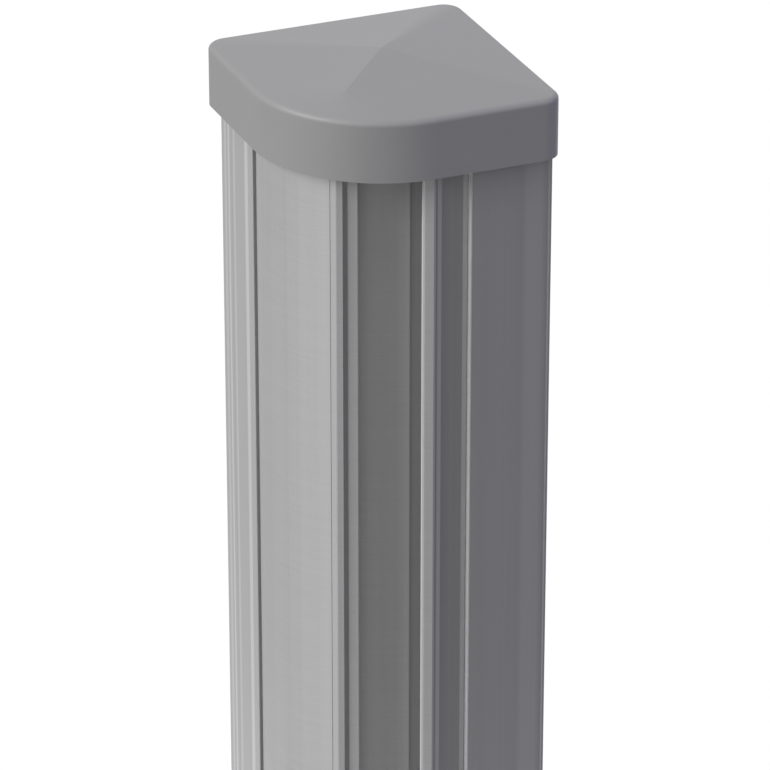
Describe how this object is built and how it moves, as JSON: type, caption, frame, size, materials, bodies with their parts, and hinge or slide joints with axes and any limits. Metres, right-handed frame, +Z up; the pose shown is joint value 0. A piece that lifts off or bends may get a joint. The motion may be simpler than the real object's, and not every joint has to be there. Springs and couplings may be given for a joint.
{
  "type": "fence post",
  "caption": "Extruded aluminium corner fence post with a broad front corner, angled board channels beside a slotted spine, a clip-on cover strip over one channel and a low pyramid cap.",
  "frame": {"origin": "middle of the cap's plan, at the level of the post's lower end", "axes": "+Z up along the post; the front faces look along -X and -Y and the rounded front corner lies between them"},
  "size_m": [0.0974, 0.0974, 1.0509],
  "materials": {
    "bare_aluminium": "finely brushed mill finish",
    "grey_plastic": "satin moulded"
  },
  "bodies": {
    "root": {"post": "bare_aluminium", "cover_strip": "bare_aluminium", "cap": "grey_plastic"}
  },
  "joints": []
}
